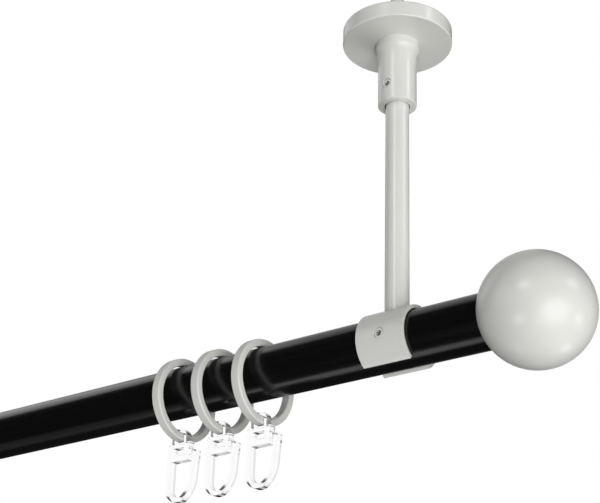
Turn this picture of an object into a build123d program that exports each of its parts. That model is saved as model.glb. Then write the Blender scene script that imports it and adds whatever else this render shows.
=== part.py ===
from build123d import *
import os
from math import cos, radians, sin, sqrt, tan

# A curtain rod hung from the ceiling on two brackets, with ball ends, rings and hooks.
# Millimetres and degrees. The origin is on the ceiling plane, midway between the brackets.
# X runs along the rod, -Y faces the room and Z is up.

# Rod
ROD_D = 20.0
ROD_WALL = 1.2
ROD_LENGTH = 800.0
ROD_DROP = 130.0  # ceiling plane down to the rod's axis
ROD_OVERHANG = 42.0  # bracket's axis out to the rod's end
ROD_END_BREAK = 0.3

# Ceiling flange and the neck under it
FLANGE_D = 42.5
FLANGE_T = 6.5
FLANGE_EDGE = 0.5
RELIEF_RIM = 4.0  # bearing rim round the shallow relief in the top
RELIEF_DEPTH = 0.8
NECK_D = 14.8
NECK_LENGTH = 27.5  # below the flange
NECK_EDGE = 0.4
COLLAR_D = 17.0  # where the neck meets the flange
COLLAR_LENGTH = 3.0
COLLAR_EDGE = 0.6
COVE_LENGTH = 4.0  # hollow curve from the collar down to the neck
NECK_BORE_DEPTH = 19.0
NECK_MOUTH = 0.1  # bevel at the mouth of the stem's bore
NECK_SCREW_HEIGHT = 7.0  # above the neck's lower end

# Hanger bolt, concealed in the flange and the ceiling
BOLT_THREAD_D = 6.0
BOLT_THREAD_LENGTH = 9.0
BOLT_WOOD_D = 5.5
BOLT_WOOD_LENGTH = 26.0
BOLT_POINT_LENGTH = 8.0
BOLT_POINT_D = 1.0

# Stem
STEM_D = 9.0
STEM_FIT = 0.25  # radial, in the neck
STEM_TOP_GAP = 1.0  # under the end of the neck's bore
STEM_EDGE = 0.5

# Rod clip
CLIP_WIDTH = 19.7
CLIP_WALL = 1.3
CLIP_FIT = 0.3  # radial, round the rod
CLIP_LIFT = 0.15  # clip's axis above the rod's, so that the rod lies in the clip's lower flanks
CLIP_LIP_ANGLE = 58.0  # free edges below the horizontal
CLIP_EDGE = 0.12

# Screws
THREAD_FIT = 0.05  # radial, round a threaded piece
SEAT_GAP = 0.02  # between curved or pointed faces that bear on each other
GRUB_D = 4.0
GRUB_BREAK = 0.35
GRUB_SOCKET = 2.0  # across flats
GRUB_SOCKET_DEPTH = 1.0
CLIP_SCREW_D = 4.0
CLIP_SCREW_LENGTH = 10.0  # above the head's cone
CLIP_SCREW_HEAD_D = 7.0
CLIP_SCREW_CLEAR = 0.2  # between the head and the rod
CLIP_SCREW_TIP_GAP = 2.0  # left over in the stem's tapped hole
CLIP_SCREW_SOCKET = 2.5  # across flats
CLIP_SCREW_SOCKET_DEPTH = 1.2

# Ball finial and the plug that carries it
BALL_D = 40.0
BALL_REACH = 13.5  # rod's end out to the ball's centre
BALL_FIT = 0.1  # radial, round the rod
BALL_SEAT_GAP = 0.05  # between the rod's end and the floor of the ball's recess
PLUG_FIT = 0.08  # radial, in the tube
PLUG_LENGTH = 20.0
PLUG_TIP = 1.5
PLUG_SLOT = 2.0
PLUG_SLOT_DEPTH = 15.0
SPIGOT_D = 10.0
SPIGOT_LENGTH = 12.0
SPIGOT_END_GAP = 1.0

# Rings, hung on the rod
RING_OUTER_D = 33.4
RING_INNER_D = 27.7
RING_WIDTH = 3.85
RING_EDGE = 0.6
RING_HANG_GAP = 0.25  # between the ring's top and the rod
RINGS_PER_SIDE = 3
RING_FIRST = 60.8  # bracket's axis to the nearest ring
RING_PITCH = 20.0

# Hooks, hung on the rings
HOOK_T = 3.0
EYE_TOP_GAP = 0.9  # over the middle of the ring's band
EYE_FLOOR_GAP = 0.7  # under the ring's band
EYE_SIDE_GAP = 0.5  # each side of the ring's band
EYE_RISE = 1.6
EYE_WALL = 1.3
HOOK_BODY_W = 11.0
HOOK_BODY_H = 7.3
WINDOW_W = 5.5
WINDOW_H = 2.4
WINDOW_DROP = 2.0  # below the eye's floor
LEG_W = 2.3
LEG_LENGTH = 10.05
BEND_R = 6.05  # outside
BEND_W = 1.85
BEND_TURN = 130.0
OPEN_R = 11.0  # outside, where the free leg opens out of the bend
OPEN_LEAN = 5.0  # free leg off the vertical
FREE_LEG_W = 1.57
FREE_LEG_RISE = 3.5  # tip above the body's lower edge
TIP_R = 0.7

# Places that follow from the sizes above
BRACKET_X = ROD_LENGTH / 2 - ROD_OVERHANG
ROD_Z = -ROD_DROP
NECK_END_Z = -FLANGE_T - NECK_LENGTH
NECK_SCREW_Z = NECK_END_Z + NECK_SCREW_HEIGHT
STEM_TOP_Z = NECK_END_Z + NECK_BORE_DEPTH - STEM_TOP_GAP
CLIP_INNER_R = ROD_D / 2 + CLIP_FIT
CLIP_OUTER_R = CLIP_INNER_R + CLIP_WALL
CLIP_Z = ROD_Z + CLIP_LIFT
CLIP_SCREW_Z = ROD_Z + ROD_D / 2 + CLIP_SCREW_CLEAR
CLIP_SCREW_CONE = (CLIP_SCREW_HEAD_D - CLIP_SCREW_D) / 2
RING_Z = ROD_Z + ROD_D / 2 + RING_HANG_GAP - RING_INNER_D / 2
EYE_FLOOR_Z = RING_Z - RING_OUTER_D / 2 - EYE_FLOOR_GAP
EYE_HALF_W = RING_WIDTH / 2 + EYE_SIDE_GAP
EYE_TOP = EYE_FLOOR_GAP + (RING_OUTER_D - RING_INNER_D) / 2 + EYE_TOP_GAP
SIDES = {"left": -1, "right": 1}


def turned(profile):
    """Solid of revolution about Z from (radius, height) points, the axis included."""
    return revolve(Plane.XZ * make_face(Polyline(*profile, close=True)), Axis.Z)


def upright(diameter, low, high):
    """Cylinder about Z from one height to another."""
    return Pos(0, 0, low) * Cylinder(diameter / 2, high - low, align=(Align.CENTER, Align.CENTER, Align.MIN))


def lengthwise(diameter, start, end):
    """Cylinder about X from one place to another."""
    return Rot(0, 90, 0) * upright(diameter, start, end)


def facing_room(shape, near, height):
    """Stands a piece made about Z on the room side: its foot at near from the stem's axis, pointing to -Y."""
    return Pos(0, -near, height) * Rot(90, 0, 0) * shape


def socketed(shape, top, across_flats, depth):
    """Sinks a hexagon socket into the top of a screw made about Z."""
    hexagon = RegularPolygon(across_flats / 2, 6, major_radius=False)
    return shape - Pos(0, 0, top - depth) * extrude(hexagon, depth)


def grub_screw(length):
    """Hex-socket set screw made about Z, with its point down and its socket at the top."""
    body = upright(GRUB_D, 0, length)
    body = chamfer(body.edges().filter_by(GeomType.CIRCLE), GRUB_BREAK)
    return socketed(body, length, GRUB_SOCKET, GRUB_SOCKET_DEPTH)


def ceiling_flange():
    """Disc and neck in one turned piece, bored from below for the stem and tapped from above."""
    flange_r, collar_r, neck_r = FLANGE_D / 2, COLLAR_D / 2, NECK_D / 2
    collar_low = -FLANGE_T - COLLAR_LENGTH
    cove_low = collar_low - COVE_LENGTH
    cove = TangentArc((neck_r, cove_low), (collar_r, collar_low), tangent=(0, 1))
    outline = Polyline(
        (collar_r, collar_low),
        (collar_r, -FLANGE_T),
        (flange_r, -FLANGE_T),
        (flange_r, 0),
        (0, 0),
        (0, NECK_END_Z),
        (neck_r, NECK_END_Z),
        (neck_r, cove_low),
    )
    body = revolve(Plane.XZ * make_face([*cove.edges(), *outline.edges()]), Axis.Z)
    rims = body.edges().filter_by(GeomType.CIRCLE)
    body = fillet(rims.filter_by(lambda e: abs(e.radius - flange_r) < 0.01), FLANGE_EDGE)
    rims = body.edges().filter_by(GeomType.CIRCLE).sort_by(Axis.Z)
    body = fillet(rims.filter_by(lambda e: abs(e.radius - collar_r) < 0.01)[0], COLLAR_EDGE)
    rims = body.edges().filter_by(GeomType.CIRCLE).sort_by(Axis.Z)
    body = fillet(rims[0], NECK_EDGE)

    bore_d = STEM_D + 2 * STEM_FIT
    mouth_r = bore_d / 2 + NECK_MOUTH
    body -= upright(bore_d, NECK_END_Z, NECK_END_Z + NECK_BORE_DEPTH)
    body -= Pos(0, 0, NECK_END_Z + NECK_MOUTH / 2) * Cone(mouth_r, bore_d / 2, NECK_MOUTH)
    body -= upright(FLANGE_D - 2 * RELIEF_RIM, -RELIEF_DEPTH, 0)
    body -= upright(BOLT_THREAD_D + 2 * THREAD_FIT, -BOLT_THREAD_LENGTH - THREAD_FIT, 0)
    return body - facing_room(upright(GRUB_D + 2 * THREAD_FIT, 0, neck_r), 0, NECK_SCREW_Z)


def hanger_bolt():
    """Machine thread down in the flange, wood thread and point up in the ceiling."""
    wood_r, point_z = BOLT_WOOD_D / 2, BOLT_WOOD_LENGTH + BOLT_POINT_LENGTH
    return turned([
        (0, -BOLT_THREAD_LENGTH),
        (BOLT_THREAD_D / 2, -BOLT_THREAD_LENGTH),
        (BOLT_THREAD_D / 2, 0),
        (wood_r, 0),
        (wood_r, BOLT_WOOD_LENGTH),
        (BOLT_POINT_D / 2, point_z),
        (0, point_z),
    ])


def stem():
    """Rod between the neck and the clip, its foot coped to the clip and tapped for the clip's screw."""
    body = upright(STEM_D, CLIP_Z, STEM_TOP_Z)
    body = chamfer(body.edges().filter_by(GeomType.CIRCLE).sort_by(Axis.Z)[-1], STEM_EDGE)
    saddle_d = 2 * (CLIP_OUTER_R + SEAT_GAP)
    body -= Pos(0, 0, CLIP_Z) * lengthwise(saddle_d, -STEM_D, STEM_D)
    tapped_top = CLIP_SCREW_Z + CLIP_SCREW_CONE + CLIP_SCREW_LENGTH + CLIP_SCREW_TIP_GAP
    return body - upright(CLIP_SCREW_D + 2 * THREAD_FIT, CLIP_Z, tapped_top)


def rod_clip():
    """Band bent to a C round the rod, open below, with a tapped hole in front and a countersink on top."""
    reach = 2 * CLIP_OUTER_R
    spread = reach / tan(radians(CLIP_LIP_ANGLE))
    opening = make_face(Polyline((0, 0), (spread, -reach), (-spread, -reach), close=True))
    band = Circle(CLIP_OUTER_R) - Circle(CLIP_INNER_R) - opening
    body = extrude(Plane.YZ * band, CLIP_WIDTH / 2, both=True)
    ends = body.faces().filter_by(Axis.X)
    body = fillet(ends.edges().filter_by(lambda e: e.geom_type == GeomType.CIRCLE
                                         and abs(e.radius - CLIP_OUTER_R) < 0.01), CLIP_EDGE)
    body = Pos(0, 0, CLIP_Z) * body
    body -= facing_room(upright(GRUB_D + 2 * THREAD_FIT, 0, reach), 0, ROD_Z)
    sink_r = CLIP_SCREW_HEAD_D / 2 + SEAT_GAP
    body -= upright(2 * sink_r, CLIP_Z, CLIP_SCREW_Z)
    sink_mid = CLIP_SCREW_Z + CLIP_SCREW_CONE / 2
    body -= Pos(0, 0, sink_mid) * Cone(sink_r, CLIP_SCREW_D / 2 + SEAT_GAP, CLIP_SCREW_CONE)
    return body - upright(CLIP_SCREW_D + 2 * THREAD_FIT, CLIP_Z, CLIP_Z + reach)


def clip_screw():
    """Countersunk socket screw, head down in the clip, shank up in the stem."""
    shank_top = CLIP_SCREW_CONE + CLIP_SCREW_LENGTH
    body = turned([
        (0, 0),
        (CLIP_SCREW_HEAD_D / 2, 0),
        (CLIP_SCREW_D / 2, CLIP_SCREW_CONE),
        (CLIP_SCREW_D / 2, shank_top),
        (0, shank_top),
    ])
    body = Rot(180, 0, 0) * socketed(Rot(180, 0, 0) * body, 0, CLIP_SCREW_SOCKET, CLIP_SCREW_SOCKET_DEPTH)
    return Pos(0, 0, CLIP_SCREW_Z) * body


def neck_grub_screw():
    """Set screw through the neck's wall, its point on the stem and its socket just under the surface."""
    point = STEM_D / 2 + SEAT_GAP
    flush = sqrt((NECK_D / 2) ** 2 - (GRUB_D / 2) ** 2)
    return facing_room(grub_screw(flush - point), point, NECK_SCREW_Z)


def clip_grub_screw():
    """Set screw through the clip's wall, its point on the rod and its socket just under the surface."""
    point = ROD_D / 2 + SEAT_GAP
    flush = sqrt(CLIP_OUTER_R ** 2 - (GRUB_D / 2 + CLIP_LIFT) ** 2)
    return facing_room(grub_screw(flush - point), point, ROD_Z)


def rod_tube():
    """Round tube with broken edges at its ends."""
    half = ROD_LENGTH / 2
    body = lengthwise(ROD_D, -half, half)
    body = chamfer(body.edges().filter_by(GeomType.CIRCLE), ROD_END_BREAK)
    return Pos(0, 0, ROD_Z) * (body - lengthwise(ROD_D - 2 * ROD_WALL, -half, half))


def finial_ball():
    """Ball with a recess for the rod's end and a bore for the plug's spigot, made on the rod's end at x 0."""
    body = Pos(BALL_REACH, 0, 0) * Sphere(BALL_D / 2)
    body -= lengthwise(ROD_D + 2 * BALL_FIT, BALL_REACH - BALL_D, BALL_SEAT_GAP)
    return body - lengthwise(SPIGOT_D + 2 * SEAT_GAP, 0, BALL_SEAT_GAP + SPIGOT_LENGTH + SPIGOT_END_GAP)


def finial_plug():
    """Plug with four spring legs in the tube and a spigot in the ball, made on the rod's end at x 0."""
    legs_d = ROD_D - 2 * ROD_WALL - 2 * PLUG_FIT
    body = lengthwise(legs_d, -PLUG_LENGTH, BALL_SEAT_GAP)
    body = chamfer(body.edges().filter_by(GeomType.CIRCLE).sort_by(Axis.X)[0], PLUG_TIP)
    slot = Box(PLUG_SLOT_DEPTH, PLUG_SLOT, ROD_D, align=(Align.MIN, Align.CENTER, Align.CENTER))
    for turn in (0, 90):
        body -= Pos(-PLUG_LENGTH, 0, 0) * Rot(turn, 0, 0) * slot
    return body + lengthwise(SPIGOT_D, 0, BALL_SEAT_GAP + SPIGOT_LENGTH)


def ring():
    """Flat band ring with rounded edges, about X."""
    band = (RING_OUTER_D - RING_INNER_D) / 2
    section = Pos(0, (RING_OUTER_D + RING_INNER_D) / 4) * RectangleRounded(RING_WIDTH, band, RING_EDGE)
    return revolve(Plane.XZ * section, Axis.X)


def on_circle(centre, radius, angle):
    """Point on a circle, at an angle from its right-hand side."""
    return (centre[0] + radius * cos(radians(angle)), centre[1] + radius * sin(radians(angle)))


def bend_edge(leg_x, bottom, bend_r, open_r):
    """One edge of the hook's J, from the body down, round the bend and up to the tip."""
    body_low = -HOOK_BODY_H
    tip = body_low + FREE_LEG_RISE
    bend_end, open_end = BEND_TURN - 180, -OPEN_LEAN
    bend_mid, open_mid = (bend_end - 180) / 2, (bend_end + open_end) / 2
    centre = (leg_x + bend_r, bottom + bend_r)
    leaves = on_circle(centre, bend_r, bend_end)
    wide = on_circle(leaves, -open_r, bend_end)
    straight = on_circle(wide, open_r, open_end)
    tip_x = straight[0] + (tip - straight[1]) * tan(radians(OPEN_LEAN))
    return [
        Line((leg_x, body_low), (leg_x, centre[1])),
        ThreePointArc((leg_x, centre[1]), on_circle(centre, bend_r, bend_mid), leaves),
        ThreePointArc(leaves, on_circle(wide, open_r, open_mid), straight),
        Line(straight, (tip_x, tip)),
    ]


def hook():
    """Moulded hook: an eye round the ring's band, a windowed body and an open J. The eye's floor is z 0."""
    half_w, spring = HOOK_BODY_W / 2, EYE_TOP - EYE_RISE
    eye = make_face([
        Line((-EYE_HALF_W, 0), (EYE_HALF_W, 0)),
        Line((EYE_HALF_W, 0), (EYE_HALF_W, spring)),
        ThreePointArc((EYE_HALF_W, spring), (0, EYE_TOP), (-EYE_HALF_W, spring)),
        Line((-EYE_HALF_W, spring), (-EYE_HALF_W, 0)),
    ])
    body = Pos(0, -HOOK_BODY_H / 2) * Rectangle(HOOK_BODY_W, HOOK_BODY_H)
    window = Pos(0, -WINDOW_DROP - WINDOW_H / 2) * Rectangle(WINDOW_W, WINDOW_H)

    outer_bottom = -HOOK_BODY_H - LEG_LENGTH - BEND_R
    inner_r = BEND_R - (LEG_W + BEND_W) / 2
    outer = bend_edge(-half_w, outer_bottom, BEND_R, OPEN_R)
    inner = bend_edge(-half_w + LEG_W, outer_bottom + BEND_W, inner_r, OPEN_R - FREE_LEG_W)
    tip_edge = Line(outer[-1] @ 1, inner[-1] @ 1)
    root_edge = Line(outer[0] @ 0, inner[0] @ 0)
    bend = make_face([*outer, tip_edge, *inner, root_edge])
    bend = fillet(bend.vertices().group_by(Axis.Y)[-1], TIP_R)

    outline = offset(eye, EYE_WALL, kind=Kind.ARC) + body + bend - eye - window
    return extrude(Plane.XZ * outline, HOOK_T / 2, both=True)


def main():
    os.makedirs("parts", exist_ok=True)
    pieces = {"rod_tube": rod_tube()}
    fixed = [ceiling_flange, hanger_bolt, stem, rod_clip, clip_screw, neck_grub_screw, clip_grub_screw]
    for side, sign in SIDES.items():
        for piece in fixed:
            pieces[f"{piece.__name__}_{side}"] = Pos(sign * BRACKET_X, 0, 0) * piece()
        outward = Pos(sign * ROD_LENGTH / 2, 0, ROD_Z) * Rot(0, 0, 0 if sign > 0 else 180)
        for piece in (finial_ball, finial_plug):
            pieces[f"{piece.__name__}_{side}"] = outward * piece()

    number = 0
    for sign in SIDES.values():
        for place in range(RINGS_PER_SIDE):
            number += 1
            ring_x = sign * (BRACKET_X - RING_FIRST - place * RING_PITCH)
            free_leg = Rot(0, 0, 0 if sign > 0 else 180)
            pieces[f"ring_{number}"] = Pos(ring_x, 0, RING_Z) * ring()
            pieces[f"hook_{number}"] = Pos(ring_x, 0, EYE_FLOOR_Z) * free_leg * hook()

    for name, piece in pieces.items():
        export_step(piece, f"parts/{name}.step")


if __name__ == "__main__":
    main()
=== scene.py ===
"""Curtain rod with brackets: lacquers, clear hooks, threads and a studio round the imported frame."""

from math import radians

import bpy
from bpy.props import FloatProperty, FloatVectorProperty, PointerProperty
from mathutils import Matrix, Vector


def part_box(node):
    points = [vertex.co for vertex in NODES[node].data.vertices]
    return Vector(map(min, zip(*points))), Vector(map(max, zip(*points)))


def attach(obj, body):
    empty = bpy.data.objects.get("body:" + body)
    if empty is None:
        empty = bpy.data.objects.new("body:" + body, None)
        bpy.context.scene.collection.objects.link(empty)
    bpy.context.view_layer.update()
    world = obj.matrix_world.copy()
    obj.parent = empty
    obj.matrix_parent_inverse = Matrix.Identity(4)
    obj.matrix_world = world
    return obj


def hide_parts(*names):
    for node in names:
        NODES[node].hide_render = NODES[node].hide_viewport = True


bl_info = {
    "name": "Curtain Rod With Brackets",
    "version": (1, 0, 0),
    "blender": (4, 5, 0),
    "location": "View3D > Sidebar > Curtain Rod",
    "description": "Finishes a ceiling-hung curtain rod: lacquers, clear hooks, threads and a studio",
    "category": "Object",
}

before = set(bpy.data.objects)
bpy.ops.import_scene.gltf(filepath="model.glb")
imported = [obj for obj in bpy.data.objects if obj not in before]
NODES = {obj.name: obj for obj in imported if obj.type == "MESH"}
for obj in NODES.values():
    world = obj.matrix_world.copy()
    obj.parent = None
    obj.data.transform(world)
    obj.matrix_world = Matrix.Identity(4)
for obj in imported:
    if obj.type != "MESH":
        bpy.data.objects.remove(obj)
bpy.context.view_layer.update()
SIDES = ("left", "right")
RING_NUMBERS = range(1, 1 + sum(name.startswith("ring_") for name in NODES))


# Settings


class LacquerSettings(bpy.types.PropertyGroup):
    """Colours and grain of the painted pieces."""

    white: FloatVectorProperty(
        name="Off-White", description="Lacquer of the brackets", subtype="COLOR",
        default=(0.66, 0.66, 0.63), min=0, max=1,
    )
    ball_white: FloatVectorProperty(
        name="Ball White", description="Lacquer of the ball finials", subtype="COLOR",
        default=(0.66, 0.66, 0.63), min=0, max=1,
    )
    ring_white: FloatVectorProperty(
        name="Ring White", description="Moulded colour of the rings", subtype="COLOR",
        default=(0.64, 0.64, 0.61), min=0, max=1,
    )
    black: FloatVectorProperty(
        name="Rod Black", description="Lacquer of the rod", subtype="COLOR",
        default=(0.003, 0.003, 0.0034), min=0, max=1,
    )
    grain: FloatProperty(
        name="Grain", description="Width of the lacquer's orange peel", subtype="DISTANCE",
        default=0.0006, min=0.00005, max=0.01,
    )
    grain_depth: FloatProperty(
        name="Grain Depth", description="Height of the lacquer's orange peel", subtype="DISTANCE",
        default=0.000003, min=0, max=0.0001,
    )
    ring_grain: FloatProperty(
        name="Ring Grain", description="Width of the grain in the rings' plastic", subtype="DISTANCE",
        default=0.0007, min=0.00005, max=0.01,
    )
    ring_grain_depth: FloatProperty(
        name="Ring Grain Depth", description="Height of the grain in the rings' plastic",
        subtype="DISTANCE", default=0.00003, min=0, max=0.0001,
    )
    turning: FloatProperty(
        name="Turning", description="Width of the turning lines round the flanges", subtype="DISTANCE",
        default=0.0012, min=0.00005, max=0.01,
    )
    turning_depth: FloatProperty(
        name="Turning Depth", description="Height of the turning lines", subtype="DISTANCE",
        default=0.00005, min=0, max=0.0002,
    )


class HookSettings(bpy.types.PropertyGroup):
    """The moulded hooks."""

    edge: FloatProperty(
        name="Edge", description="Width of the rounding along the hook's edges", subtype="DISTANCE",
        default=0.00004, min=0.00001, max=0.001,
    )
    tint: FloatVectorProperty(
        name="Tint", description="Colour of the clear plastic", subtype="COLOR",
        default=(0.985, 0.99, 0.99), min=0, max=1,
    )


class BoltSettings(bpy.types.PropertyGroup):
    """Threads of the hanger bolts, wood thread above the ceiling plane and machine thread below it."""

    wood_width: FloatProperty(
        name="Wood Width", description="Wood thread across its crests", subtype="DISTANCE",
        default=0.0055, min=0.001, max=0.02,
    )
    wood_core: FloatProperty(
        name="Wood Core", description="Wood thread across its roots", subtype="DISTANCE",
        default=0.0039, min=0.001, max=0.02,
    )
    wood_pitch: FloatProperty(
        name="Wood Pitch", description="Rise of the wood thread in one turn", subtype="DISTANCE",
        default=0.0024, min=0.0005, max=0.01,
    )
    machine_core: FloatProperty(
        name="Machine Core", description="Machine thread across its roots", subtype="DISTANCE",
        default=0.0048, min=0.001, max=0.02,
    )
    machine_pitch: FloatProperty(
        name="Machine Pitch", description="Rise of the machine thread in one turn", subtype="DISTANCE",
        default=0.001, min=0.0005, max=0.01,
    )
    point: FloatProperty(
        name="Point", description="Length of the tapered point", subtype="DISTANCE",
        default=0.008, min=0.001, max=0.02,
    )
    point_share: FloatProperty(
        name="Point Share", description="Width left at the point's end", subtype="FACTOR",
        default=0.18, min=0, max=1,
    )


class StageSettings(bpy.types.PropertyGroup):
    """Camera, floor and light."""

    camera_place: FloatVectorProperty(
        name="Camera Place", description="Where the camera stands", subtype="TRANSLATION",
        default=(0.61077, -0.37224, -0.30102),
    )
    camera_turn: FloatProperty(
        name="Turn", description="Camera's heading, left of straight at the rod", subtype="ANGLE",
        default=radians(38.674),
    )
    camera_tilt: FloatProperty(
        name="Tilt", description="Camera's tilt above the horizon", subtype="ANGLE",
        default=radians(24.564),
    )
    camera_roll: FloatProperty(
        name="Roll", description="Camera's roll about its own line of sight", subtype="ANGLE",
        default=radians(1.939),
    )
    lens: FloatProperty(
        name="Lens", description="Focal length on a 36 mm sensor", subtype="DISTANCE_CAMERA",
        default=81.555,
    )
    light_target: FloatVectorProperty(
        name="Light Target", description="What the soft boxes face", subtype="TRANSLATION",
        default=(0.33, 0.0, -0.1),
    )
    light_distance: FloatProperty(
        name="Light Distance", description="Soft boxes to what they face", subtype="DISTANCE",
        default=2.2,
    )
    room_height: FloatProperty(
        name="Room Height", description="Ceiling down to the floor", subtype="DISTANCE",
        default=2.4, min=1,
    )
    floor_size: FloatProperty(
        name="Floor Size", description="Length of the floor's sides", subtype="DISTANCE",
        default=60.0, min=1,
    )


class CurtainRodSettings(bpy.types.PropertyGroup):
    """All settings of this add-on."""

    lacquer: PointerProperty(type=LacquerSettings)
    hook: PointerProperty(type=HookSettings)
    bolt: PointerProperty(type=BoltSettings)
    stage: PointerProperty(type=StageSettings)


# Shared helpers


MERGE = 0.000002  # points this close are one, in metres
SLIVER = 0.000005  # edges this short are left over from a join, in metres
FLAT = radians(1)  # faces this close to one plane are one face
CREASE = radians(30)  # edges sharper than this stay edges


def settings():
    """The scene's settings of this add-on."""
    return bpy.context.scene.curtain_rod


def deselect():
    """Leaves nothing selected."""
    bpy.ops.object.select_all(action="DESELECT")


def activate(piece):
    """Selects one object alone."""
    deselect()
    piece.select_set(True)
    bpy.context.view_layer.objects.active = piece


def merged_copy(node, name):
    """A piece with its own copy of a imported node's mesh, its loose triangles joined into whole faces."""
    piece = bpy.data.objects.new(name, NODES[node].data.copy())
    bpy.context.scene.collection.objects.link(piece)
    activate(piece)
    bpy.ops.object.mode_set(mode="EDIT")
    bpy.ops.mesh.select_all(action="SELECT")
    bpy.ops.mesh.remove_doubles(threshold=MERGE)
    bpy.ops.mesh.dissolve_limited(angle_limit=FLAT)
    bpy.ops.object.mode_set(mode="OBJECT")
    bpy.ops.mesh.customdata_custom_splitnormals_clear()
    return piece


def join(piece, other):
    """Makes one solid of a piece and another, and leaves the piece selected alone."""
    activate(piece)
    modifier = piece.modifiers.new("join", "BOOLEAN")
    modifier.operation = "UNION"
    modifier.solver = "EXACT"
    modifier.object = other
    bpy.ops.object.modifier_apply(modifier="join")
    bpy.data.objects.remove(other)


def clean(piece):
    """Takes out the slivers that joined solids leave along their seams."""
    activate(piece)
    bpy.ops.object.mode_set(mode="EDIT")
    bpy.ops.mesh.select_all(action="SELECT")
    bpy.ops.mesh.remove_doubles(threshold=SLIVER)
    bpy.ops.mesh.dissolve_degenerate(threshold=SLIVER)
    bpy.ops.object.mode_set(mode="OBJECT")


def settle(piece, body, node):
    """Hands a finished piece to its body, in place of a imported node."""
    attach(piece, body)
    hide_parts(node)


def middle(node):
    """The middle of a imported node's box."""
    low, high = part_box(node)
    return (Vector(low) + Vector(high)) / 2


def nodes_of(piece):
    """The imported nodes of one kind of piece, such as every rod_clip."""
    return [NODES[name] for name in sorted(NODES) if name.rsplit("_", 1)[0] == piece]


def paint(objects, material):
    """Gives each object one material all over."""
    for obj in objects:
        obj.data.materials.clear()
        obj.data.materials.append(material)


NOISE_LOW, NOISE_HIGH = 0.3, 0.7  # where noise starts and stops making a difference


class Shader:
    """A material with a Principled surface, and short ways to add and join its nodes."""

    def __init__(self, name):
        self.material = bpy.data.materials.new(name)
        self.material.use_nodes = True
        self.tree = self.material.node_tree
        self.surface = self.tree.nodes["Principled BSDF"]
        self.place = self.tree.nodes.new("ShaderNodeTexCoord").outputs["Object"]

    def set(self, **values):
        """Sets constants on the surface's own sockets."""
        for name, value in values.items():
            socket = name.replace("_", " ").title().replace("Ior", "IOR")
            self.surface.inputs[socket].default_value = value

    def stretched(self, scale):
        """Object coordinates, scaled by axis."""
        mapping = self.tree.nodes.new("ShaderNodeMapping")
        mapping.inputs["Scale"].default_value = scale
        self.tree.links.new(self.place, mapping.inputs["Vector"])
        return mapping.outputs["Vector"]

    def reach(self, centre, across):
        """Distance from a line through a centre, measured only along the axes across it."""
        offset = self.tree.nodes.new("ShaderNodeVectorMath")
        offset.operation = "SUBTRACT"
        offset.inputs[1].default_value = centre
        self.tree.links.new(self.place, offset.inputs[0])
        flat = self.tree.nodes.new("ShaderNodeVectorMath")
        flat.operation = "MULTIPLY"
        flat.inputs[1].default_value = across
        self.tree.links.new(offset.outputs["Vector"], flat.inputs[0])
        length = self.tree.nodes.new("ShaderNodeVectorMath")
        length.operation = "LENGTH"
        self.tree.links.new(flat.outputs["Vector"], length.inputs[0])
        return length.outputs["Value"]

    def beyond(self, value, edge, blur):
        """Goes from 0 to 1 where a value passes an edge."""
        step = self.tree.nodes.new("ShaderNodeMapRange")
        step.inputs["From Min"].default_value = edge - blur
        step.inputs["From Max"].default_value = edge + blur
        self.tree.links.new(value, step.inputs["Value"])
        return step.outputs["Result"]

    def noise(self, size, detail=2.0, place=None):
        """Noise with lumps about this many metres wide."""
        noise = self.tree.nodes.new("ShaderNodeTexNoise")
        noise.inputs["Scale"].default_value = 1 / size
        noise.inputs["Detail"].default_value = detail
        self.tree.links.new(place or self.place, noise.inputs["Vector"])
        return noise.outputs["Fac"]

    def colour(self, factor, low, high):
        """Base colour between two tints."""
        ramp = self.tree.nodes.new("ShaderNodeValToRGB")
        for stop, tint in zip(ramp.color_ramp.elements, (low, high)):
            stop.color = (*tint, 1)
        ramp.color_ramp.elements[0].position = NOISE_LOW
        ramp.color_ramp.elements[1].position = NOISE_HIGH
        self.tree.links.new(factor, ramp.inputs["Fac"])
        self.tree.links.new(ramp.outputs["Color"], self.surface.inputs["Base Color"])

    def roughness(self, factor, low, high):
        """Roughness between two values."""
        span = self.tree.nodes.new("ShaderNodeMapRange")
        span.interpolation_type = "SMOOTHSTEP"
        span.inputs["From Min"].default_value = NOISE_LOW
        span.inputs["From Max"].default_value = NOISE_HIGH
        span.inputs["To Min"].default_value = low
        span.inputs["To Max"].default_value = high
        self.tree.links.new(factor, span.inputs["Value"])
        self.tree.links.new(span.outputs["Result"], self.surface.inputs["Roughness"])

    def bump(self, factor, depth):
        """Relief of this many metres."""
        bump = self.tree.nodes.new("ShaderNodeBump")
        bump.inputs["Distance"].default_value = depth
        self.tree.links.new(factor, bump.inputs["Height"])
        self.tree.links.new(bump.outputs["Normal"], self.surface.inputs["Normal"])


def shaded(tint, share):
    """A tint made darker or lighter by a share."""
    return tuple(channel * share for channel in tint)


# Materials


CLOUD = 0.02  # width of the lacquer's cloudiness, in metres
SATIN_SPREAD = 0.01  # roughness above and below a lacquer's own
BRACKET_ROUGHNESS = 0.2
BALL_ROUGHNESS = 0.25
ALONG_ROD = (0.02, 1, 1)  # draws a pattern out along the rod
ROUND_FLANGE = (0.03, 0.03, 1)  # draws a pattern out round the flange
BORE_SHADE_GAP = 0.00035  # edge of the painted shade in a flange's bore, out from the stem, in metres
SOCKET_SHADE_RADIUS = 0.00105  # edge of the painted shade in a grub screw's hex socket, in metres


def satin_lacquer(name, tint, roughness):
    """Sprayed off-white lacquer: a faint cloudiness in the colour and a fine orange peel."""
    lacquer = settings().lacquer
    shader = Shader(name)
    cloud = shader.noise(CLOUD)
    shader.colour(cloud, low=shaded(tint, share=0.985), high=tint)
    shader.roughness(cloud, roughness - SATIN_SPREAD, roughness + SATIN_SPREAD)
    shader.bump(shader.noise(lacquer.grain), lacquer.grain_depth)
    return shader.material


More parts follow.
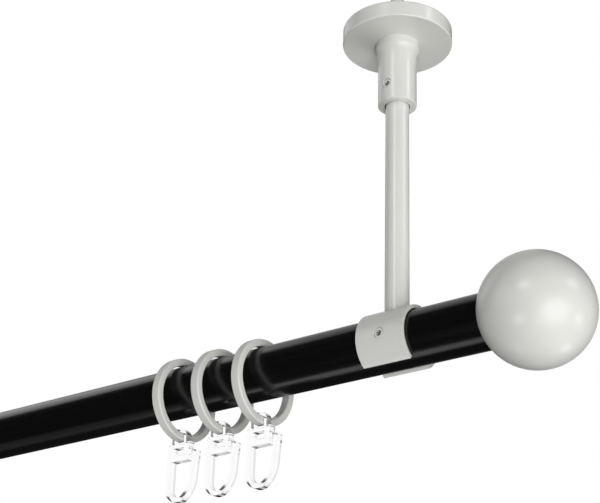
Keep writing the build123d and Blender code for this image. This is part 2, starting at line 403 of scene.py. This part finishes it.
def black_lacquer():
    """Black lacquer on drawn tube: fine lines along the tube under an orange peel."""
    lacquer = settings().lacquer
    shader = Shader("black_lacquer")
    drawn = shader.noise(size=0.0015, place=shader.stretched(ALONG_ROD))
    shader.colour(drawn, low=shaded(lacquer.black, share=0.9), high=shaded(lacquer.black, share=1.1))
    shader.roughness(drawn, low=0.18, high=0.22)
    shader.bump(shader.noise(lacquer.grain), lacquer.grain_depth)
    return shader.material


def flange_lacquer(side):
    """The brackets' lacquer over a flange's turning lines, with painted shade in the bore that the stem
    slides in.
    """
    lacquer = settings().lacquer
    node = f"ceiling_flange_{side}"
    low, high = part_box(f"stem_{side}")
    bore = (high[0] - low[0]) / 2 + BORE_SHADE_GAP
    shader = Shader(f"{node}_lacquer")
    # painted shade: dark grey inside the bore round the stem, standing in for the shadow in the gap
    outside = shader.beyond(shader.reach(middle(node), across=(1, 1, 0)), edge=bore, blur=0.00005)
    shader.colour(outside, low=(0.12, 0.12, 0.115), high=shaded(lacquer.white, share=0.995))
    shader.roughness(
        shader.noise(CLOUD), BRACKET_ROUGHNESS - SATIN_SPREAD, BRACKET_ROUGHNESS + SATIN_SPREAD,
    )
    turned = shader.noise(lacquer.turning, place=shader.stretched(ROUND_FLANGE))
    shader.bump(turned, lacquer.turning_depth)
    return shader.material


def ring_plastic():
    """Moulded off-white plastic, duller than the lacquer and with a grain that shows."""
    lacquer = settings().lacquer
    shader = Shader("ring_plastic")
    grain = shader.noise(lacquer.ring_grain, detail=3)
    shader.colour(grain, low=shaded(lacquer.ring_white, share=0.97), high=lacquer.ring_white)
    shader.roughness(grain, low=0.5, high=0.56)
    shader.bump(grain, lacquer.ring_grain_depth)
    return shader.material


def zinc_plate():
    """Zinc-plated steel with a cloudy, slightly brushed plating."""
    shader = Shader("zinc_plate")
    cloud = shader.noise(size=0.0012, detail=4)
    shader.colour(cloud, low=(0.72, 0.72, 0.7), high=(0.84, 0.84, 0.82))
    shader.roughness(cloud, low=0.36, high=0.5)
    shader.set(metallic=0.35)
    shader.bump(shader.noise(size=0.0002), depth=0.000004)
    return shader.material


def flake_with_socket_shade(node):
    """Pale zinc flake on a grub screw that faces the room, with painted shade inside its hex socket."""
    shader = Shader(f"{node}_flake")
    rim = shader.beyond(shader.reach(middle(node), across=(1, 0, 1)), edge=SOCKET_SHADE_RADIUS, blur=0.0001)
    # painted shade: dark grey inside the hex socket, standing in for its shadow
    shader.colour(rim, low=(0.2, 0.2, 0.19), high=settings().lacquer.white)
    grain = shader.noise(size=0.0003)
    shader.roughness(grain, low=0.4, high=0.5)
    shader.bump(grain, depth=0.000004)
    return shader.material


def clear_plastic():
    """Clear moulded plastic with a faint flow ripple."""
    shader = Shader("clear_plastic")
    tint = settings().hook.tint
    flow = shader.noise(size=0.004)
    shader.colour(flow, low=shaded(tint, share=0.995), high=tint)
    shader.roughness(flow, low=0.01, high=0.03)
    shader.set(transmission_weight=1.0, ior=1.49, specular_tint=(0.2, 0.2, 0.2, 1))
    shader.bump(flow, depth=0.00001)
    return shader.material


def grained_plastic():
    """Dark moulded plastic with a fine spark-eroded grain."""
    shader = Shader("grained_plastic")
    grain = shader.noise(size=0.0003, detail=3)
    shader.colour(grain, low=(0.035, 0.035, 0.036), high=(0.05, 0.05, 0.052))
    shader.roughness(grain, low=0.5, high=0.65)
    shader.bump(grain, depth=0.00001)
    return shader.material


def pale_floor():
    """Pale floor, bright by itself."""
    shader = Shader("pale_floor")
    cloud = shader.noise(size=0.3)
    shader.colour(cloud, low=(0.8, 0.8, 0.79), high=(0.84, 0.84, 0.83))
    shader.roughness(cloud, low=0.6, high=0.7)
    shader.set(emission_color=(0.9, 0.9, 0.89, 1), emission_strength=0.95)
    shader.material.cycles.emission_sampling = "NONE"
    return shader.material


# Pieces


class CURTAIN_ROD_OT_brackets(bpy.types.Operator):
    """Paint the flanges, stems and clips off-white"""

    bl_idname = "curtain_rod.brackets"
    bl_label = "Brackets"

    def execute(self, context):
        material = satin_lacquer("bracket_lacquer", settings().lacquer.white, BRACKET_ROUGHNESS)
        paint(nodes_of("stem") + nodes_of("rod_clip"), material)
        for side in SIDES:
            paint([NODES[f"ceiling_flange_{side}"]], flange_lacquer(side))
        return {"FINISHED"}


class CURTAIN_ROD_OT_rod(bpy.types.Operator):
    """Paint the rod black"""

    bl_idname = "curtain_rod.rod"
    bl_label = "Rod"

    def execute(self, context):
        paint([NODES["rod_tube"]], black_lacquer())
        return {"FINISHED"}


class CURTAIN_ROD_OT_finials(bpy.types.Operator):
    """Paint the ball finials and grain their plugs"""

    bl_idname = "curtain_rod.finials"
    bl_label = "Finials"

    def execute(self, context):
        material = satin_lacquer("ball_lacquer", settings().lacquer.ball_white, BALL_ROUGHNESS)
        paint(nodes_of("finial_ball"), material)
        paint(nodes_of("finial_plug"), grained_plastic())
        return {"FINISHED"}


class CURTAIN_ROD_OT_rings(bpy.types.Operator):
    """Colour the rings"""

    bl_idname = "curtain_rod.rings"
    bl_label = "Rings"

    def execute(self, context):
        paint(nodes_of("ring"), ring_plastic())
        return {"FINISHED"}


EDGE_STEPS = 3  # facets round a hook's edge


def moulded_hook(number):
    """A hook with the soft edges of a moulding."""
    node = f"hook_{number}"
    piece = merged_copy(node, f"moulded_{node}")
    bpy.ops.object.shade_smooth()
    edge = piece.modifiers.new("edge", "BEVEL")
    edge.width = settings().hook.edge
    edge.segments = EDGE_STEPS
    edge.limit_method = "ANGLE"
    edge.angle_limit = CREASE
    edge.harden_normals = True
    bpy.ops.object.modifier_apply(modifier="edge")
    settle(piece, node, node)
    return piece


class CURTAIN_ROD_OT_hooks(bpy.types.Operator):
    """Mould the hooks in clear plastic"""

    bl_idname = "curtain_rod.hooks"
    bl_label = "Hooks"

    def execute(self, context):
        paint([moulded_hook(number) for number in RING_NUMBERS], clear_plastic())
        return {"FINISHED"}


RIDGE_FOOT = 0.48  # thread's foot out from the axis, in core widths, so that it sinks into the core
RIDGE_CREST = 0.35  # crest above the lower foot, in pitches
RIDGE_RISE = 0.7  # upper foot above the lower one, in pitches
TURN_STEPS = 24  # facets in one turn of the thread
CORE_SIDES = 48
THREAD_LAP = 0.0001  # machine thread up into the wood thread, in metres


def threaded_length(width, core, pitch, low, high):
    """A round core up Z with the ridge of a thread wound round it."""
    deselect()
    bpy.ops.mesh.primitive_circle_add(vertices=3, radius=core / 2)
    ridge = bpy.context.object
    foot = RIDGE_FOOT * core
    corners = (
        (foot, 0, low),
        (width / 2, 0, low + RIDGE_CREST * pitch),
        (foot, 0, low + RIDGE_RISE * pitch),
    )
    for vertex, corner in zip(ridge.data.vertices, corners):
        vertex.co = corner
    turns = ridge.modifiers.new("turns", "SCREW")
    turns.screw_offset = pitch
    turns.iterations = int((high - low) / pitch - RIDGE_RISE)
    turns.steps = turns.render_steps = TURN_STEPS
    bpy.ops.object.modifier_apply(modifier="turns")
    bpy.ops.object.mode_set(mode="EDIT")
    bpy.ops.mesh.select_all(action="SELECT")
    bpy.ops.mesh.fill_holes(sides=3)
    bpy.ops.mesh.normals_make_consistent(inside=False)
    bpy.ops.object.mode_set(mode="OBJECT")
    deselect()
    bpy.ops.mesh.primitive_cylinder_add(
        vertices=CORE_SIDES, radius=core / 2, depth=high - low, location=(0, 0, (low + high) / 2),
    )
    length = bpy.context.object
    bpy.ops.object.transform_apply()
    join(length, ridge)
    return length


def threaded_bolt(side):
    """A hanger bolt: wood thread and point up in the ceiling, machine thread down in the flange."""
    bolt = settings().bolt
    node = f"hanger_bolt_{side}"
    low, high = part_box(node)
    shank = high[2] - bolt.point
    wood = threaded_length(bolt.wood_width, bolt.wood_core, bolt.wood_pitch, -shank, bolt.point)
    taper = wood.modifiers.new("taper", "SIMPLE_DEFORM")
    taper.deform_method = "TAPER"
    taper.deform_axis = "Z"
    taper.factor = bolt.point_share - 1
    taper.limits = (shank / high[2], 1)
    bpy.ops.object.modifier_apply(modifier="taper")
    machine = threaded_length(
        high[0] - low[0], bolt.machine_core, bolt.machine_pitch, low[2] - shank, THREAD_LAP - shank,
    )
    join(wood, machine)
    clean(wood)
    wood.name = f"threaded_bolt_{side}"
    wood.location = ((low[0] + high[0]) / 2, (low[1] + high[1]) / 2, shank)
    bpy.ops.object.transform_apply()
    bpy.ops.object.shade_smooth_by_angle(angle=CREASE)
    settle(wood, "rod_and_brackets", node)
    return wood


class CURTAIN_ROD_OT_screws(bpy.types.Operator):
    """Thread the hanger bolts and plate all screws"""

    bl_idname = "curtain_rod.screws"
    bl_label = "Screws"

    def execute(self, context):
        plate = zinc_plate()
        paint([threaded_bolt(side) for side in SIDES], plate)
        paint(nodes_of("clip_screw"), plate)
        for node in nodes_of("neck_grub_screw") + nodes_of("clip_grub_screw"):
            paint([node], flake_with_socket_shade(node.name))
        return {"FINISHED"}


# Studio


# Name, direction from the bracket, width in metres and power in watts: boxes that light the colours
FILL_BOXES = (
    ("fill_high", (0.80, -0.20, 0.57), 1.3, 8.0),
    ("fill_left", (-0.60, -0.72, 0.35), 1.3, 16.0),
    ("fill_right", (0.99, -0.08, -0.08), 1.3, 16.0),
    ("fill_front", (0.77, -0.59, -0.24), 1.3, 18.0),
    ("fill_low", (0.50, -0.58, -0.64), 1.3, 22.0),
    ("fill_under", (0.32, 0.46, -0.83), 1.3, 14.0),
    ("fill_floor", (-0.10, -0.20, -0.97), 2.6, 7.0),
    ("fill_back", (-0.57, 0.71, 0.42), 1.3, 24.0),
    ("fill_top", (-0.35, 0.60, 0.72), 1.3, 24.0),
)

# The same for boxes that only show in the gloss
GLOSS_BOXES = (
    ("gloss_key", (0.85, -0.38, -0.37), 1.9, 21.0),
    ("gloss_rim", (-0.66, 0.30, 0.69), 2.6, 9.0),
    ("gloss_edge", (-0.80, 0.02, 0.60), 1.3, 2.6),
    ("spot_front", (0.12, -0.88, 0.46), 0.6, 4.4),
    ("spot_back", (0.84, 0.19, 0.51), 0.6, 3.4),
    ("spot_low_left", (-0.18, -0.82, -0.55), 0.5, 3.2),
    ("spot_right", (0.86, 0.44, -0.25), 0.5, 2.6),
    ("spot_under", (-0.50, 0.03, -0.86), 0.8, 2.0),
    ("spot_under_left", (-0.74, -0.06, -0.67), 1.0, 0.4),
    ("spot_low_back", (0.30, 0.66, -0.68), 0.5, 2.4),
    ("gloss_back", (-0.30, 0.92, 0.25), 1.4, 1.8),
)


# What the world shows
WHITE = 1.0  # behind the object
AMBIENT = 0.02  # all that the painted pieces get from it
PANEL = 0.08
TABLE = 0.1
WALL = 0.82


class Surround:
    """The world's nodes, and short ways to add and join them."""

    def __init__(self, name):
        self.world = bpy.data.worlds.new(name)
        self.world.use_nodes = True
        self.world.cycles.sampling_method = "NONE"
        self.nodes, self.links = self.world.node_tree.nodes, self.world.node_tree.links
        self.path = self.nodes.new("ShaderNodeLightPath")
        self.toward = self.nodes.new("ShaderNodeTexCoord").outputs["Generated"]

    def along(self, axis):
        """How far each direction points along an axis."""
        dot = self.nodes.new("ShaderNodeVectorMath")
        dot.operation = "DOT_PRODUCT"
        dot.inputs[1].default_value = axis
        self.links.new(self.toward, dot.inputs[0])
        return dot.outputs["Value"]

    def fade(self, value, start, end, before, after):
        """Goes from one light to another as a value rises."""
        span = self.nodes.new("ShaderNodeMapRange")
        span.inputs["From Min"].default_value = start
        span.inputs["From Max"].default_value = end
        span.inputs["To Min"].default_value = before
        span.inputs["To Max"].default_value = after
        self.links.new(value, span.inputs["Value"])
        return span.outputs["Result"]

    def join(self, operation, *values):
        """Joins values two by two, such as the least of all."""
        joined = values[0]
        for value in values[1:]:
            math = self.nodes.new("ShaderNodeMath")
            math.operation = operation
            self.links.new(joined, math.inputs[0])
            self.links.new(value, math.inputs[1])
            joined = math.outputs["Value"]
        return joined


def studio_world():
    """White behind the object, a little light all round, and a studio that only the clear hooks show.

    The studio is a dark panel high on the left, a dark table below and a duller wall in front.
    """
    surround = Surround("studio")
    bpy.context.scene.world = surround.world
    right = surround.along((1, 0, 0))
    back = surround.along((0, 1, 0))
    up = surround.along((0, 0, 1))
    tipped_up = surround.along((0.1, 0.2, 1))
    high_panel = surround.join(
        "MAXIMUM",
        surround.fade(up, start=0.47, end=0.53, before=WHITE, after=PANEL),
        surround.fade(right, start=0.05, end=0.25, before=PANEL, after=WHITE),
    )
    low_table = surround.fade(tipped_up, start=-0.5, end=-0.4, before=TABLE, after=WHITE)
    front_wall = surround.fade(back, start=-0.4, end=-0.1, before=WALL, after=WHITE)
    studio = surround.join("MINIMUM", high_panel, low_table, front_wall)
    through = surround.join("MULTIPLY", surround.path.outputs["Is Transmission Ray"], studio)
    seen = surround.join("MAXIMUM", surround.path.outputs["Is Camera Ray"], through)
    background = surround.nodes["Background"]
    background.inputs["Color"].default_value = (1, 1, 1, 1)
    light = surround.fade(seen, start=0, end=1, before=AMBIENT, after=WHITE)
    surround.links.new(light, background.inputs["Strength"])


def soft_box(name, direction, width, power):
    """A round soft box that faces the bracket on the right and doesn't show itself."""
    stage = settings().stage
    data = bpy.data.lights.new(name, "AREA")
    data.shape = "DISK"
    data.size = width
    data.energy = power
    obj = bpy.data.objects.new(name, data)
    bpy.context.scene.collection.objects.link(obj)
    outward = Vector(direction).normalized()
    place = Vector(stage.light_target) + stage.light_distance * outward
    obj.matrix_world = Matrix.LocRotScale(place, outward.to_track_quat("Z", "Y"), None)
    obj.visible_camera = False
    obj.visible_transmission = False
    return obj


def soft_lights():
    """Soft boxes all round, some for the colours and some for the gloss."""
    for box in FILL_BOXES:
        soft_box(*box).visible_glossy = False
    for box in GLOSS_BOXES:
        soft_box(*box).visible_diffuse = False


def floor():
    """A plain floor a room's height below the ceiling, for the camera alone."""
    stage = settings().stage
    deselect()
    bpy.ops.mesh.primitive_plane_add(size=stage.floor_size, location=(0, 0, -stage.room_height))
    plane = bpy.context.object
    plane.name = "floor"
    paint([plane], pale_floor())
    plane.visible_diffuse = False
    plane.visible_glossy = False
    plane.visible_transmission = False


SENSOR_WIDTH = 36  # in millimetres
NEAREST = 0.01  # what the camera still shows, in metres


def camera():
    """Looks up at the right-hand end of the rod, from below and in front."""
    stage = settings().stage
    data = bpy.data.cameras.new("camera")
    data.lens = stage.lens
    data.sensor_width = SENSOR_WIDTH
    data.clip_start = NEAREST
    obj = bpy.data.objects.new("camera", data)
    bpy.context.scene.collection.objects.link(obj)
    turn = Matrix.Rotation(stage.camera_turn, 4, "Z")
    tilt = Matrix.Rotation(radians(90) + stage.camera_tilt, 4, "X")
    roll = Matrix.Rotation(stage.camera_roll, 4, "Z")
    obj.matrix_world = Matrix.Translation(stage.camera_place) @ turn @ tilt @ roll
    bpy.context.scene.camera = obj


class CURTAIN_ROD_OT_stage(bpy.types.Operator):
    """Set up the floor, the light and the camera"""

    bl_idname = "curtain_rod.stage"
    bl_label = "Stage"

    def execute(self, context):
        context.scene.view_settings.view_transform = "Standard"
        studio_world()
        soft_lights()
        floor()
        camera()
        return {"FINISHED"}


# Add-on


OPERATORS = (
    CURTAIN_ROD_OT_brackets,
    CURTAIN_ROD_OT_rod,
    CURTAIN_ROD_OT_finials,
    CURTAIN_ROD_OT_rings,
    CURTAIN_ROD_OT_hooks,
    CURTAIN_ROD_OT_screws,
    CURTAIN_ROD_OT_stage,
)


class CURTAIN_ROD_PT_panel(bpy.types.Panel):
    """Lists the pieces in the order that they are made"""

    bl_label = "Curtain Rod"
    bl_idname = "CURTAIN_ROD_PT_panel"
    bl_space_type = "VIEW_3D"
    bl_region_type = "UI"
    bl_category = "Curtain Rod"

    def draw(self, context):
        for operator in OPERATORS:
            self.layout.operator(operator.bl_idname)


CLASSES = (
    LacquerSettings,
    HookSettings,
    BoltSettings,
    StageSettings,
    CurtainRodSettings,
    *OPERATORS,
    CURTAIN_ROD_PT_panel,
)


def register():
    for cls in CLASSES:
        bpy.utils.register_class(cls)
    bpy.types.Scene.curtain_rod = PointerProperty(type=CurtainRodSettings)


def unregister():
    del bpy.types.Scene.curtain_rod
    for cls in reversed(CLASSES):
        bpy.utils.unregister_class(cls)


def main():
    register()
    bpy.ops.curtain_rod.brackets()
    bpy.ops.curtain_rod.rod()
    bpy.ops.curtain_rod.finials()
    bpy.ops.curtain_rod.rings()
    bpy.ops.curtain_rod.hooks()
    bpy.ops.curtain_rod.screws()
    bpy.ops.curtain_rod.stage()


if __name__ == "__main__":
    main()
